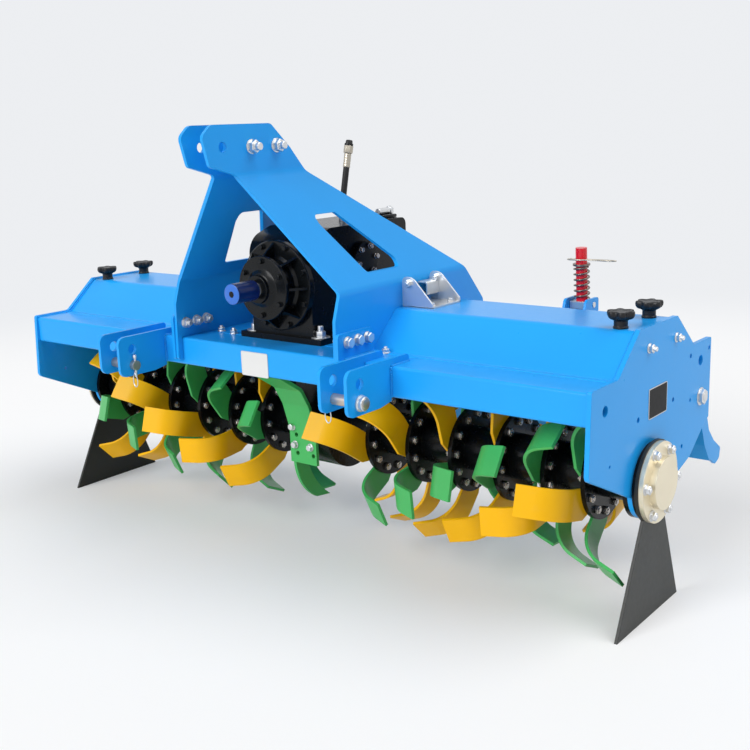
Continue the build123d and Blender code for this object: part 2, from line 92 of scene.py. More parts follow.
# %% World
backdrop = (0.845, 0.86, 0.885, 1.0)
ambient = 0.26


def add_node(tree, kind, inputs=None, **settings):
    """A new node with its settings, and with values for those inputs that have no link."""
    made = tree.nodes.new(kind)
    for key, value in settings.items():
        setattr(made, key, value)
    for key, value in (inputs or {}).items():
        made.inputs[key].default_value = value
    return made


def studio_world():
    world = bpy.data.worlds.new("pale_room")
    world.use_nodes = True
    tree = world.node_tree
    tree.nodes.clear()
    link = tree.links.new
    light = add_node(tree, "ShaderNodeBackground", {"Color": (1.0, 1.0, 1.0, 1.0), "Strength": ambient})
    seen = add_node(tree, "ShaderNodeBackground", {"Color": backdrop, "Strength": 1.0})
    rays = add_node(tree, "ShaderNodeLightPath")
    seen_by = rays.outputs["Is Camera Ray"]
    for kind in ("Is Glossy Ray", "Is Transmission Ray"):
        either = add_node(tree, "ShaderNodeMath", operation="MAXIMUM")
        link(seen_by, either.inputs[0])
        link(rays.outputs[kind], either.inputs[1])
        seen_by = either.outputs[0]
    mix = add_node(tree, "ShaderNodeMixShader")
    link(seen_by, mix.inputs["Fac"])
    link(light.outputs["Background"], mix.inputs[1])
    link(seen.outputs["Background"], mix.inputs[2])
    output = add_node(tree, "ShaderNodeOutputWorld")
    link(mix.outputs["Shader"], output.inputs["Surface"])
    return world


bpy.context.scene.world = studio_world()
bpy.context.scene.view_settings.view_transform = "Standard"
print("world:", bpy.context.scene.world.name, "ambient", ambient)

# %% [markdown]
# ## The floor
# The studio's floor is white paper. A plain white plane would end in a grey line at the horizon, and
# the photograph is bright enough to wash the shadows pale. So the camera sees the paper mixed with a
# little white light, and far from the machine it sees the backdrop's colour alone. The shadows stay.

# %% Floor
paper_white = (0.92, 0.925, 0.93, 1.0)
washed = 0.22
fade_start, fade_end = 1.8, 5.0


def floor_paper():
    material = bpy.data.materials.new("floor_white")
    material.use_nodes = True
    tree = material.node_tree
    link = tree.links.new
    shader = tree.nodes["Principled BSDF"]
    shader.inputs["Base Color"].default_value = paper_white
    shader.inputs["Roughness"].default_value = 0.6
    shader.inputs["Specular IOR Level"].default_value = 0.15
    place = add_node(tree, "ShaderNodeTexCoord")
    radius = add_node(tree, "ShaderNodeVectorMath", operation="LENGTH")
    link(place.outputs["Object"], radius.inputs[0])
    limits = {"From Min": fade_start, "From Max": fade_end, "To Min": washed}
    fade = add_node(tree, "ShaderNodeMapRange", limits, interpolation_type="SMOOTHSTEP")
    link(radius.outputs["Value"], fade.inputs["Value"])
    rays = add_node(tree, "ShaderNodeLightPath")
    share = add_node(tree, "ShaderNodeMath", operation="MULTIPLY")
    link(fade.outputs["Result"], share.inputs[0])
    link(rays.outputs["Is Camera Ray"], share.inputs[1])
    white = (1.0, 1.0, 1.0, 1.0)
    tint = add_node(tree, "ShaderNodeMix", {"A": white, "B": backdrop}, data_type="RGBA")
    link(fade.outputs["Result"], tint.inputs["Factor"])
    glow = add_node(tree, "ShaderNodeEmission")
    link(tint.outputs["Result"], glow.inputs["Color"])
    mix = add_node(tree, "ShaderNodeMixShader")
    link(share.outputs[0], mix.inputs["Fac"])
    link(shader.outputs["BSDF"], mix.inputs[1])
    link(glow.outputs["Emission"], mix.inputs[2])
    link(mix.outputs["Shader"], tree.nodes["Material Output"].inputs["Surface"])
    return material


bpy.ops.mesh.primitive_plane_add(size=60.0, location=(0, 0, 0))
floor = bpy.context.object
floor.name = "studio_floor"
floor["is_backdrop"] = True
floor.data.materials.append(floor_paper())
print("floor fades from", fade_start, "to", fade_end, "m")

# %% [markdown]
# ## Lamps
# The photograph's shadows are soft and fall towards the camera, and the end plate on the right is a
# deeper blue than the beam. Area lamps would do, but their light falls off with distance over a
# machine two metres wide. Two suns light it evenly: a very soft one from above and behind on the
# right, and one from the front that fills the beam and the hood.

# %% Lamps
def sun_lamp(name, towards, strength, softness):
    bpy.ops.object.light_add(type="SUN", location=(0, 0, 4))
    lamp = bpy.context.object
    lamp.name = name
    lamp.rotation_euler = Vector(towards).to_track_quat("-Z", "Y").to_euler()
    lamp.data.energy = strength
    lamp.data.angle = math.radians(softness)


sun_lamp("lamp_overhead", (-0.50, -0.20, -0.84), 1.60, 50)
sun_lamp("lamp_front", (0.16, 0.84, -0.50), 2.2, 36)
bpy.ops.object.select_all(action="DESELECT")
print("lamps:", len(bpy.data.lights))

# %% [markdown]
# ## Paint
# Sprayed gloss paint isn't one flat colour. Its tone drifts over a big plate, the surface has a faint
# orange-peel ripple, and cut edges are slightly round, so they catch a thin light line. A plain shader
# looks like plastic, and image textures need unwrapped surfaces. Noise on Object coordinates needs
# neither, so one helper makes every finish from it. A Bevel node rounds the edges in the shading.

# %% Tone and dust
patch_scale = 4.0
dust_colour = (0.42, 0.38, 0.32, 1.0)


def drifting_tone(tree, place, colour, tone):
    """The colour, a little darker in some patches and a little lighter in others."""
    drift = add_node(tree, "ShaderNodeTexNoise", {"Scale": patch_scale, "Detail": 5.0})
    tree.links.new(place, drift.inputs["Vector"])
    tones = add_node(tree, "ShaderNodeValToRGB")
    dark, light = tones.color_ramp.elements
    dark.position, light.position = 0.3, 0.7
    dark.color = [c * (1 - tone) for c in colour] + [1.0]
    light.color = [min(1.0, c * (1 + tone)) for c in colour] + [1.0]
    tree.links.new(drift.outputs["Fac"], tones.inputs["Fac"])
    return tones.outputs["Color"]


def dusted(tree, base, speck, dust):
    """The base colour with faint pale spots."""
    spots = add_node(tree, "ShaderNodeValToRGB")
    clean, dusty = spots.color_ramp.elements
    clean.position, dusty.position = 0.56, 0.72
    clean.color = (0, 0, 0, 1)
    dusty.color = (dust, dust, dust, 1)
    tree.links.new(speck, spots.inputs["Fac"])
    layer = add_node(tree, "ShaderNodeMix", {"B": dust_colour}, data_type="RGBA")
    tree.links.new(spots.outputs["Color"], layer.inputs["Factor"])
    tree.links.new(base, layer.inputs["A"])
    return layer.outputs["Result"]


print("dust colour:", dust_colour)

# %% [markdown]
# ## A finish
# A finish is one Principled shader. The noise above sets its colour, a finer noise varies its
# roughness, and a third one bumps it. Metal, paint, plastic and rubber differ only in a few numbers,
# so a function with those numbers is shorter than a node tree for each.

# %% Finish helper
edge_radius = 0.0018
peel_scale = 220.0


def finish(name, colour, roughness, metallic=0.0, coat=0.0, tone=0.06, grain=60.0, ripple=0.02,
           dust=0.0, specular=0.5):
    material = bpy.data.materials.new(name)
    material.use_nodes = True
    tree = material.node_tree
    link = tree.links.new
    place = add_node(tree, "ShaderNodeTexCoord").outputs["Object"]
    speck = add_node(tree, "ShaderNodeTexNoise", {"Scale": grain, "Detail": 3.0})
    link(place, speck.inputs["Vector"])
    gloss = add_node(tree, "ShaderNodeMapRange",
                     {"To Min": max(0.03, roughness - 0.05), "To Max": roughness + 0.05})
    link(speck.outputs["Fac"], gloss.inputs["Value"])
    peel = add_node(tree, "ShaderNodeTexNoise", {"Scale": peel_scale, "Detail": 2.0})
    link(place, peel.inputs["Vector"])
    rounding = add_node(tree, "ShaderNodeBevel", {"Radius": edge_radius}, samples=4)
    bump = add_node(tree, "ShaderNodeBump", {"Strength": ripple, "Distance": 0.002})
    link(peel.outputs["Fac"], bump.inputs["Height"])
    link(rounding.outputs["Normal"], bump.inputs["Normal"])
    base = drifting_tone(tree, place, colour, tone)
    if dust > 0:
        base = dusted(tree, base, speck.outputs["Fac"], dust)
    shader = tree.nodes["Principled BSDF"]
    shader.inputs["Metallic"].default_value = metallic
    shader.inputs["Coat Weight"].default_value = coat
    shader.inputs["Coat Roughness"].default_value = 0.08
    shader.inputs["Specular IOR Level"].default_value = specular
    link(base, shader.inputs["Base Color"])
    link(gloss.outputs["Result"], shader.inputs["Roughness"])
    link(bump.outputs["Normal"], shader.inputs["Normal"])
    return material


print("edges look rounded by", edge_radius * 1000, "mm")

# %% [markdown]
# ## The machine's finishes
# The frame is sky blue, the rotor and the gearbox are black, and the tines are yellow on one bend and
# green on the other. Bolts are zinc plated, the bearing caps champagne coloured. The colours were
# matched to the lit faces in the photograph. The painted pieces have little coat and specular, since
# the white room would turn a glossier blue pale.

# %% Paints
blue_gloss = finish("blue_gloss_paint", (0.012, 0.350, 0.87), 0.30, coat=0.09, tone=0.03, ripple=0.006,
                    specular=0.22)
black_gloss = finish("black_gloss_paint", (0.004, 0.005, 0.006), 0.26, coat=0.08, tone=0.2, ripple=0.05,
                     specular=0.16)
yellow_paint = finish("yellow_tine_paint", (0.94, 0.49, 0.003), 0.36, coat=0.06, tone=0.06, dust=0.02,
                      specular=0.2)
green_paint = finish("green_tine_paint", (0.055, 0.43, 0.105), 0.36, coat=0.08, tone=0.07, dust=0.02,
                     specular=0.3)
red_gloss = finish("red_gloss_paint", (0.72, 0.008, 0.018), 0.25, coat=0.3, tone=0.06, specular=0.3)
dark_plate = finish("dark_plate_paint", (0.022, 0.024, 0.022), 0.40, tone=0.15, ripple=0.06, specular=0.3)
plate_white = finish("blank_plate_white", (0.70, 0.70, 0.69), 0.40, tone=0.03)
plate_black = finish("blank_plate_black", (0.006, 0.006, 0.007), 0.45, tone=0.1, specular=0.12)
print("paints:", len(bpy.data.materials))

# %% Metals
champagne = finish("champagne_plating", (0.82, 0.74, 0.56), 0.30, metallic=0.6, tone=0.08)
zinc = finish("zinc_plating", (0.68, 0.69, 0.70), 0.30, metallic=0.8, tone=0.10, grain=140.0)
bolt_steel = finish("disc_bolt_steel", (0.50, 0.46, 0.43), 0.24, metallic=0.9, tone=0.12, grain=140.0)
pin_steel = finish("warm_pin_steel", (0.55, 0.47, 0.40), 0.34, metallic=0.85, tone=0.10)
spring_steel = finish("dark_spring_steel", (0.20, 0.16, 0.14), 0.28, metallic=0.8, tone=0.12)
nickel = finish("warm_nickel_plating", (0.44, 0.40, 0.33), 0.30, metallic=0.8, tone=0.10)
plate_rim = finish("bare_plate_rim", (0.60, 0.61, 0.62), 0.35, metallic=0.7, tone=0.05)
print("paints and metals:", len(bpy.data.materials))

# %% Plastics and rubber
black_plastic = finish("black_knob_plastic", (0.010, 0.010, 0.011), 0.36, tone=0.15, specular=0.3)
black_rubber = finish("black_hose_rubber", (0.012, 0.012, 0.012), 0.55, tone=0.2, ripple=0.15, specular=0.3)
# One film in two copies: this dark one on the sleeve's sides is painted shade, and the paler next one on its
# end face is painted light.
film_painted_shade = finish("sleeve_film_painted_shade", (0.004, 0.018, 0.11), 0.22, coat=0.25, tone=0.25, ripple=0.6,
                   specular=0.3)
film_painted_light = finish("sleeve_film_painted_light", (0.035, 0.16, 0.60), 0.30, coat=0.1, tone=0.2, ripple=0.5,
                     specular=0.3)
print("finishes:", len(bpy.data.materials))

# %% [markdown]
# ## Dressing the solid pieces
# A CAD piece keeps its shape and only gets its finish. Materials could be put on one piece at a time.
# A table from finish to pieces shows at a glance what is painted with what.

# %% Give the solid pieces their finishes
def both(name):
    return [name + "_left", name + "_right"]


blue_nodes = ["beam", "hood_middle", "mast_spacers", "trailing_board", "board_ears", "rod_bracket"]
for paired in ("end_plate", "hood", "mast_plate", "mast_foot", "clevis"):
    blue_nodes += both(paired)
black_nodes = ["gearbox_housing", "input_flange", "side_covers", "gear_case", "rotor_shaft", "bearing_rings"]
black_nodes += both("drum") + both("bearing")
zinc_nodes = ["hinge_pins", "input_shaft", "pivot_block", "hose_port", "rod_spring", "hose_end"]
zinc_nodes += both("lift_bracket")
node_finishes = {
    blue_gloss: blue_nodes,
    black_gloss: black_nodes,
    yellow_paint: both("yellow_tines"),
    green_paint: both("green_tines") + ["guard_bar", "share"],
    dark_plate: both("stand_plate"),
    champagne: both("bearing_cap"),
    zinc: zinc_nodes,
    pin_steel: ["hitch_pins"],
    red_gloss: ["spring_rod"],
    black_plastic: ["hood_knobs"],
    black_rubber: ["hose"],
    # The sleeve's sides get the film's dark copy, as painted shade.
    film_painted_shade: ["shaft_sleeve"],
}
for paint, names in node_finishes.items():
    for name in names:
        nodes[name].data.materials.clear()
        nodes[name].data.materials.append(paint)
print("dressed:", sum(len(names) for names in node_finishes.values()), "of", len(nodes))

# %% [markdown]
# ## The hose
# A short stiff hose stands up from the gearbox. It is a free piece, so its line is one smooth curve. A
# Bezier curve needs handles at each point. A NURBS line needs only a few points, and a
# round bevel makes it a tube. The same helper bends the machine's wires later.

# %% Hose
def round_line(name, points, radius, roundness, smoothness, closed=False):
    """A NURBS line along the points, thickened to a round bar with closed ends."""
    curve = bpy.data.curves.new(name, "CURVE")
    curve.dimensions = "3D"
    curve.bevel_depth = radius
    curve.bevel_resolution = roundness
    curve.resolution_u = smoothness
    curve.use_fill_caps = True
    spline = curve.splines.new("NURBS")
    spline.points.add(len(points) - 1)
    for point, place in zip(spline.points, points):
        point.co = (*place, 1.0)
    spline.order_u = 3
    spline.use_cyclic_u = closed
    spline.use_endpoint_u = not closed
    line = bpy.data.objects.new(name, curve)
    bpy.context.collection.objects.link(line)
    return line


hose_points = [(0, 0.066, 0.950), (0, 0.066, 0.980), (0, 0.077, 1.030), (0, 0.089, 1.080)]
hose = round_line("hose_rubber", hose_points, 0.009, 6, 16)
hose.data.materials.append(black_rubber)
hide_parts("hose")
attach(hose, "frame")
print("hose points:", len(hose_points))

# %% [markdown]
# ## Turned pieces
# Bolts, knobs and pins are turned on a lathe or pressed. A Screw modifier could turn a profile. Here a
# flat circle is extruded upwards and resized step by step, which shows each step of the lathe. With
# six sides, the same steps make a hexagon with chamfered rims.

# %% Turned pieces
def clear_selection():
    bpy.ops.object.select_all(action="DESELECT")


def turned(steps, sides=20):
    """A piece on +Z: a circle extruded and resized through its steps of (radius, height)."""
    clear_selection()
    radius, height = steps[0]
    bpy.ops.mesh.primitive_circle_add(vertices=sides, radius=radius, fill_type="NGON",
                                      location=(0, 0, height))
    piece = bpy.context.object
    bpy.ops.object.mode_set(mode="EDIT")
    bpy.ops.mesh.select_all(action="SELECT")
    for next_radius, next_height in steps[1:]:
        rise = (0, 0, next_height - height)
        bpy.ops.mesh.extrude_region_move(TRANSFORM_OT_translate={"value": rise})
        factor = next_radius / radius
        bpy.ops.transform.resize(value=(factor, factor, 1.0))
        radius, height = next_radius, next_height
    bpy.ops.mesh.select_all(action="SELECT")
    bpy.ops.mesh.normals_make_consistent(inside=False)
    bpy.ops.object.mode_set(mode="OBJECT")
    bpy.ops.object.transform_apply(location=True, rotation=False, scale=False)
    return piece


def hexagon(across, low, high):
    """A six-sided head or nut, by its width across the flats."""
    radius = across / 2 / math.cos(math.radians(30))
    rim = 0.12 * (high - low)
    steps = [(0.92 * radius, low), (radius, low + rim), (radius, high - rim), (0.9 * radius, high)]
    return turned(steps, 6)


print("a hexagon's corners stand out by", round(1 / math.cos(math.radians(30)) - 1, 3))

# %% [markdown]
# ## Joining and settling
# A made piece ends at the origin, unturned and unscaled, with its place in its mesh, so it can ride on
# a moving body. Empties or parents could place it too, but then each tool after this one would have
# to know about them.

# %% Joining and settling
def make_active(piece):
    clear_selection()
    piece.select_set(True)
    bpy.context.view_layer.objects.active = piece


def joined(pieces):
    clear_selection()
    for piece in pieces:
        piece.select_set(True)
    bpy.context.view_layer.objects.active = pieces[0]
    bpy.ops.object.transform_apply(location=True, rotation=True, scale=True)
    if len(pieces) > 1:
        bpy.ops.object.join()
    return pieces[0]


def settled(piece, name, paint, body, smooth=35):
    """Apply the place, name the piece, paint it and let it ride on its body."""
    make_active(piece)
    bpy.ops.object.transform_apply(location=True, rotation=True, scale=True)
    bpy.ops.object.shade_smooth_by_angle(angle=math.radians(smooth))
    piece.name = name
    piece.data.name = name
    if paint is not None:
        piece.data.materials.clear()
        piece.data.materials.append(paint)
    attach(piece, body)
    print(name, "faces:", len(piece.data.polygons))
    return piece


print("bodies to ride on: frame, rotor, drive_shaft, board, rod")

# %% [markdown]
# ## Copies
# What repeats is made once at the origin and then copied to its places. An Array modifier makes rows,
# but bolts stand in rings, in pairs and on slopes. A matrix for each place handles all of them. Each
# copy has its own mesh, and the copies are joined into one piece.

# %% Copies
right, left, front, up = (1, 0, 0), (-1, 0, 0), (0, -1, 0), (0, 0, 1)


def facing(place, axis, twist=0.0):
    """Where a piece made on +Z goes, so that its +Z points along the axis."""
    turn = Vector(axis).to_track_quat("Z", "Y").to_matrix().to_4x4()
    return Matrix.Translation(place) @ turn @ Matrix.Rotation(math.radians(twist), 4, "Z")


def copies(pattern, places, name, paint, body):
    made = []
    for place in places:
        copy = pattern.copy()
        copy.data = pattern.data.copy()
        bpy.context.collection.objects.link(copy)
        copy.matrix_world = place
        made.append(copy)
    bpy.data.objects.remove(pattern)
    return settled(joined(made), name, paint, body)


def on_both_sides(places):
    """From (place, axis) pairs on the machine's right side: where copies go on both sides."""
    other = [((-x, y, z), (-a, b, c)) for (x, y, z), (a, b, c) in places]
    return [facing(place, axis) for place, axis in places + other]


def zinc_bolts(pattern, places, name):
    return copies(pattern, places, name, zinc, "frame")


print("on both sides, 3 places become", len(on_both_sides([((1, 0, 0), right)] * 3)))

# %% [markdown]
# ## Bolts on the rotor
# Every disc carries its six tines on twelve bolts. Their heads show on one face of the disc and their
# nuts on the other: one nut of each pair sits on the tine's bar, the next on the bare disc. A bump
# texture wouldn't show on the discs' outline, so they are meshes. There are 144 of each, so each has
# only a few dozen faces. From disc to disc the bolts turn with the tines' spiral.

# %% Disc bolts
rotor_y, rotor_z = -0.026, 0.344
rotor_middle_x = 0.027
disc_offsets = [0.195, 0.332, 0.469, 0.606, 0.743, 0.853]
disc_thickness, tine_thickness = 0.012, 0.008
disc_bolt_circle, disc_bolt_across = 0.097, 0.019
first_bolt = 9
rotor_halves = {"left": (-1, -34.4, -20.4), "right": (1, 26.4, -20.1)}


def around_rotor(x, radius, angle):
    """A place round the rotor's axis; the angle runs from the front downwards."""
    angle = math.radians(angle)
    return (x, rotor_y - radius * math.cos(angle), rotor_z - radius * math.sin(angle))


def disc_bolt_places(side, start, step):
    heads, nuts = [], []
    for n, offset in enumerate(disc_offsets):
        near = rotor_middle_x + side * offset
        low = min(near, near + side * disc_thickness)
        for j in range(12):
            angle = start + step * n + first_bolt + 30 * j
            bar = tine_thickness * (j % 2)
            head = around_rotor(low + disc_thickness, disc_bolt_circle, angle)
            heads.append(facing(head, right, 20 * j))
            nuts.append(facing(around_rotor(low - bar, disc_bolt_circle, angle), left, 35 * j))
    return heads, nuts


for half, spiral in rotor_halves.items():
    heads, nuts = disc_bolt_places(*spiral)
    head = joined([hexagon(disc_bolt_across, 0.0, 0.009), turned([(0.0072, 0.009), (0.0055, 0.0112)], 8)])
    copies(head, heads, "disc_bolt_heads_" + half, bolt_steel, "rotor")
    nut = joined([hexagon(disc_bolt_across, 0.0, 0.011), turned([(0.0055, 0.011), (0.0045, 0.016)], 8)])
    copies(nut, nuts, "disc_bolt_nuts_" + half, bolt_steel, "rotor")

# %% [markdown]
# ## A bolt
# A bolt that shows is a washer, a hexagon and, on a nut, the end of the thread. A modelled thread
# would cost thousands of faces and wouldn't be seen, so the thread's end is a plain turned stub.

# %% Bolt
washer_thickness = 0.0022


def bolt(across, height, washer=0.0, thread=0.0, thread_end=0.0):
    """A head or nut. The washer and the thread are radii, and the thread's end stands out of the nut."""
    parts = []
    low = 0.0
    if washer > 0:
        parts.append(turned([(washer, 0.0), (washer, 0.0018), (0.94 * washer, 0.0024)], 24))
        low = washer_thickness
    parts.append(hexagon(across, low, low + height))
    if thread > 0:
        top = low + height + thread_end
        parts.append(turned([(thread, low + height - 0.002), (thread, top - 0.0015),
                             (0.85 * thread, top)], 16))
    return joined(parts)


print("washer thickness:", washer_thickness)

# %% [markdown]
# ## Bolts on the end plates
# Six bolts hold each bearing cap, two nuts hold the hood, and a big one carries the trailing board's
# hinge. Both end plates are the same, so only the right one's places are written down.

# %% End plate bolts
end_plate_face = 1.001
cap_face, cap_bolt_circle = 1.031, 0.085

cap_bolt = bolt(across=0.020, height=0.010, washer=0.014, thread=0.0055, thread_end=0.003)
cap_places = [(around_rotor(cap_face, cap_bolt_circle, -124 + 60 * j), right) for j in range(6)]
zinc_bolts(cap_bolt, on_both_sides(cap_places), "cap_bolts")
hood_nut = bolt(across=0.019, height=0.010, washer=0.0125, thread=0.006, thread_end=0.008)
hood_places = [((end_plate_face, y, z), right) for y, z in ((-0.042, 0.671), (0.116, 0.669))]
zinc_bolts(hood_nut, on_both_sides(hood_places), "hood_end_nuts")
hinge_nut = bolt(across=0.036, height=0.011, washer=0.024)
hinge_places = [((end_plate_face, 0.285, 0.483), right)]
zinc_bolts(hinge_nut, on_both_sides(hinge_places), "hinge_nuts")

# %% [markdown]
# ## Bolts on the mast and the deck
# Two long bolts run through the mast's top and its spacers. Three bolts hold each mast plate to its
# foot, with heads outside and nuts inside, and small ones hold the deck down. What is the same on both
# sides is mirrored. The top bolts have nuts on the right and heads on the left, so each has its own
# places.

# %% Mast and deck bolts
mast_top_y = (-0.340, -0.248)
mast_top_face, mast_top_z = 0.044, 1.155
mast_foot_y = (-0.310, -0.269, -0.230)
mast_foot_z, mast_foot_outside, mast_foot_inside = 0.665, 0.311, 0.291
beam_top = 0.624

top_nut = bolt(across=0.030, height=0.017, washer=0.019, thread=0.0105, thread_end=0.013)
top_nuts = [facing((mast_top_face, y, mast_top_z), right, 12 * k) for k, y in enumerate(mast_top_y)]
zinc_bolts(top_nut, top_nuts, "mast_top_nuts")
top_head = bolt(across=0.030, height=0.013, washer=0.019)
top_heads = [facing((-mast_top_face, y, mast_top_z), left) for y in mast_top_y]
zinc_bolts(top_head, top_heads, "mast_top_heads")
foot_head = bolt(across=0.024, height=0.013, washer=0.0155)
foot_heads = [((mast_foot_outside, y, mast_foot_z), right) for y in mast_foot_y]
zinc_bolts(foot_head, on_both_sides(foot_heads), "mast_foot_heads")
foot_nut = bolt(across=0.024, height=0.014, washer=0.0155, thread=0.008, thread_end=0.007)
foot_nuts = [((mast_foot_inside, y, mast_foot_z), left) for y in mast_foot_y]
zinc_bolts(foot_nut, on_both_sides(foot_nuts), "mast_foot_nuts")
deck_bolt = bolt(across=0.018, height=0.009, washer=0.012, thread=0.005, thread_end=0.006)
deck_places = [((x, y, beam_top), up) for x, y in ((0.258, -0.203), (0.197, -0.213), (0.355, -0.210))]
zinc_bolts(deck_bolt, on_both_sides(deck_places), "deck_bolts")

# %% [markdown]
# ## The input flange
# The input housing is one casting: a wide disc bolted to the gearbox, a neck, a smaller disc and a hub
# for the seal. Stacked cylinders would miss its slopes, so it is turned in one go, with its bore.
# Eight gussets brace the neck. A gusset is a thin slab that loses its outer corner to a bisect. The
# piece replaces the stepped CAD flange.

# %% Input flange
shaft_z = 0.779
gearbox_front = -0.215
shaft_bore = 0.01905


def slab(centre, size):
    clear_selection()
    bpy.ops.mesh.primitive_cube_add(size=1.0, location=centre, scale=size)
    bpy.ops.object.transform_apply(location=True, rotation=True, scale=True)
    return bpy.context.object


def cut_off(piece, place, normal):
    """Cut the piece along a plane and keep the side that the normal points away from."""
    make_active(piece)
    bpy.ops.object.mode_set(mode="EDIT")
    bpy.ops.mesh.select_all(action="SELECT")
    bpy.ops.mesh.bisect(plane_co=place, plane_no=normal, use_fill=True, clear_outer=True)
    bpy.ops.object.mode_set(mode="OBJECT")


big_disc = [(0.1240, 0.0), (0.1240, 0.0150), (0.1215, 0.0180), (0.0840, 0.0180)]
neck = [(0.0760, 0.0240), (0.0720, 0.0560)]
small_disc = [(0.0860, 0.0600), (0.0880, 0.0620), (0.0880, 0.0700), (0.0862, 0.0720)]
hub = [(0.0560, 0.0720), (0.0500, 0.0740), (0.0440, 0.0820), (0.0390, 0.0850), (0.0380, 0.0940),
       (0.0368, 0.0950)]
bore = [(shaft_bore, 0.0950), (shaft_bore, 0.0)]
flange_parts = [turned(big_disc + neck + small_disc + hub + bore, 48)]
for k in range(8):
    gusset = slab((0.0940, 0, 0.0390), (0.0480, 0.0070, 0.0420))
    cut_off(gusset, (0.0880, 0, 0.0600), (0.80, 0, 0.60))
    gusset.rotation_euler = (0, 0, math.radians(45 * k))
    flange_parts.append(gusset)
flange = copies(joined(flange_parts), [facing((0, gearbox_front, shaft_z), front)], "ribbed_flange",
                black_gloss, "frame")
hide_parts("input_flange")

# %% [markdown]
# ## The gearbox's bolts
# The gearbox stands on its deck on four studs with thick washers. The flange's two discs and the side
# covers have rings of small bolts. A ring could be placed bolt by bolt. It is the same circle each
# time, facing forwards or sideways, so one helper gives all the places.

# %% Gearbox bolts
base_top = 0.640
cover_face = 0.126
cover_y, cover_z = 0.012, 0.827


def ring_places(centre, radius, count, start, axis):
    """Evenly spaced places on a circle that faces along Y or X."""
    places = []
    for k in range(count):
        angle = math.radians(start + 360.0 / count * k)
        rise = radius * math.sin(angle)
        out = radius * math.cos(angle)
        shift = (out, 0, rise) if axis[1] else (0, out, rise)
        places.append(facing(Vector(centre) + Vector(shift), axis, 17 * k))
    return places


corner_bolt = bolt(across=0.025, height=0.016, washer=0.026, thread=0.008, thread_end=0.014)
corners = [((0.122, y, base_top), up) for y in (-0.196, 0.218)]
zinc_bolts(corner_bolt, on_both_sides(corners), "gearbox_corner_bolts")
front_bolt = bolt(across=0.012, height=0.006, washer=0.0075)
small_ring = ring_places((0, gearbox_front - 0.072, shaft_z), 0.074, 6, 28, front)
copies(front_bolt, small_ring, "flange_front_bolts", black_gloss, "frame")
rim_bolt = bolt(across=0.013, height=0.007, washer=0.0085)
big_ring = ring_places((0, gearbox_front - 0.018, shaft_z), 0.113, 8, 22.5, front)
copies(rim_bolt, big_ring, "flange_rim_bolts", black_gloss, "frame")
cover_bolt = bolt(across=0.013, height=0.008, washer=0.008)
cover_rings = ring_places((cover_face, cover_y, cover_z), 0.041, 6, 10, right)
cover_rings += ring_places((-cover_face, cover_y, cover_z), 0.041, 6, 10, left)
copies(cover_bolt, cover_rings, "side_cover_bolts", bolt_steel, "frame")

# %% [markdown]
# ## The boss and its plug
# A low cast boss on the gearbox's rear corner carries a bare steel plug that lies on its side. The boss
# is a slab with all its edges bevelled, as castings have no sharp edges.

# %% Boss and plug
boss_x = 0.058

boss = slab((boss_x, 0.186, 0.934), (0.052, 0.058, 0.010))
bpy.ops.object.mode_set(mode="EDIT")
bpy.ops.mesh.select_all(action="SELECT")
bpy.ops.mesh.bevel(offset=0.003, segments=2)
bpy.ops.object.mode_set(mode="OBJECT")
settled(boss, "gearbox_rear_boss", black_gloss, "frame")
barrel = turned([(0.0085, 0.0), (0.0095, 0.001), (0.0095, 0.050), (0.0085, 0.051)], 20)
plug = joined([barrel, hexagon(0.024, 0.051, 0.063)])
zinc_bolts(plug, [facing((boss_x, 0.155, 0.9485), (0, 1, 0))], "gearbox_plug")

# %% [markdown]
# ## The hose's fitting
# The hose ends in a pressed ferrule with four grooves, a swivel nut and a plastic cap that keeps dirt
# out. All three are turned, in line with the hose's end, so the hose's last two points give their axis.
# They replace the plain CAD fitting.

# %% Hose fitting
fitting_place = facing(hose_points[-1], Vector(hose_points[-1]) - Vector(hose_points[-2]))
crimped, groove = 0.0104, 0.0098
ferrule_steps = [(groove, 0.0), (crimped, 0.001)]
for k in range(4):
    low = 0.006 + 0.008 * k
    ferrule_steps += [(crimped, low), (groove, low + 0.002), (crimped, low + 0.004)]
ferrule_steps += [(crimped, 0.038), (0.0095, 0.040)]
fitting = joined([turned(ferrule_steps, 24), hexagon(0.0235, 0.041, 0.064)])
ferrule = copies(fitting, [fitting_place], "hose_ferrule", nickel, "frame")
cap_steps = [(0.0125, 0.063), (0.0128, 0.065), (0.0128, 0.069), (0.0105, 0.070), (0.0100, 0.077),
             (0.0085, 0.079)]
hose_cap = copies(turned(cap_steps, 24), [fitting_place], "hose_cap", black_plastic, "frame")
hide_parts("hose_end")

# %% [markdown]
# ## Picking elements
# The next pieces need some of their edges or faces treated and not others. They could be picked by
# number, but numbers change with every edit. Picking by place or direction keeps working, and the
# reader sees which ones are meant.

# %% Pick elements
select_modes = {"VERT": (True, False, False), "EDGE": (False, True, False), "FACE": (False, False, True)}


def pick(piece, kind, chosen):
    """Enter edit mode with only those vertices, edges or faces selected that are chosen."""
    make_active(piece)
    mesh = piece.data
    groups = {"VERT": mesh.vertices, "EDGE": mesh.edges, "FACE": mesh.polygons}
    for group in groups.values():
        for element in group:
            element.select = False
    for element in groups[kind]:
        element.select = chosen(element)
    bpy.context.tool_settings.mesh_select_mode = select_modes[kind]
    bpy.ops.object.mode_set(mode="EDIT")


def bevel_edges(piece, chosen, offset, segments=5):
    """Round the edges for which chosen(first end, second end) holds."""
    ends = piece.data.vertices
    pick(piece, "EDGE", lambda edge: chosen(*[ends[k].co for k in edge.vertices]))
    bpy.ops.mesh.bevel(offset=offset, segments=segments)
    bpy.ops.object.mode_set(mode="OBJECT")


print("kinds to pick:", list(select_modes))

# %% [markdown]
# ## The star knobs
# Two moulded knobs stand at each end of the hood, to be turned by hand. A knob's head could be cut
# from a disc, but moulded plastic has soft lobes. So the head starts as a 24-sided cylinder, every
# fourth side edge is pulled in, the top is inset and sunk a little, and a subdivision surface rounds
# the whole.

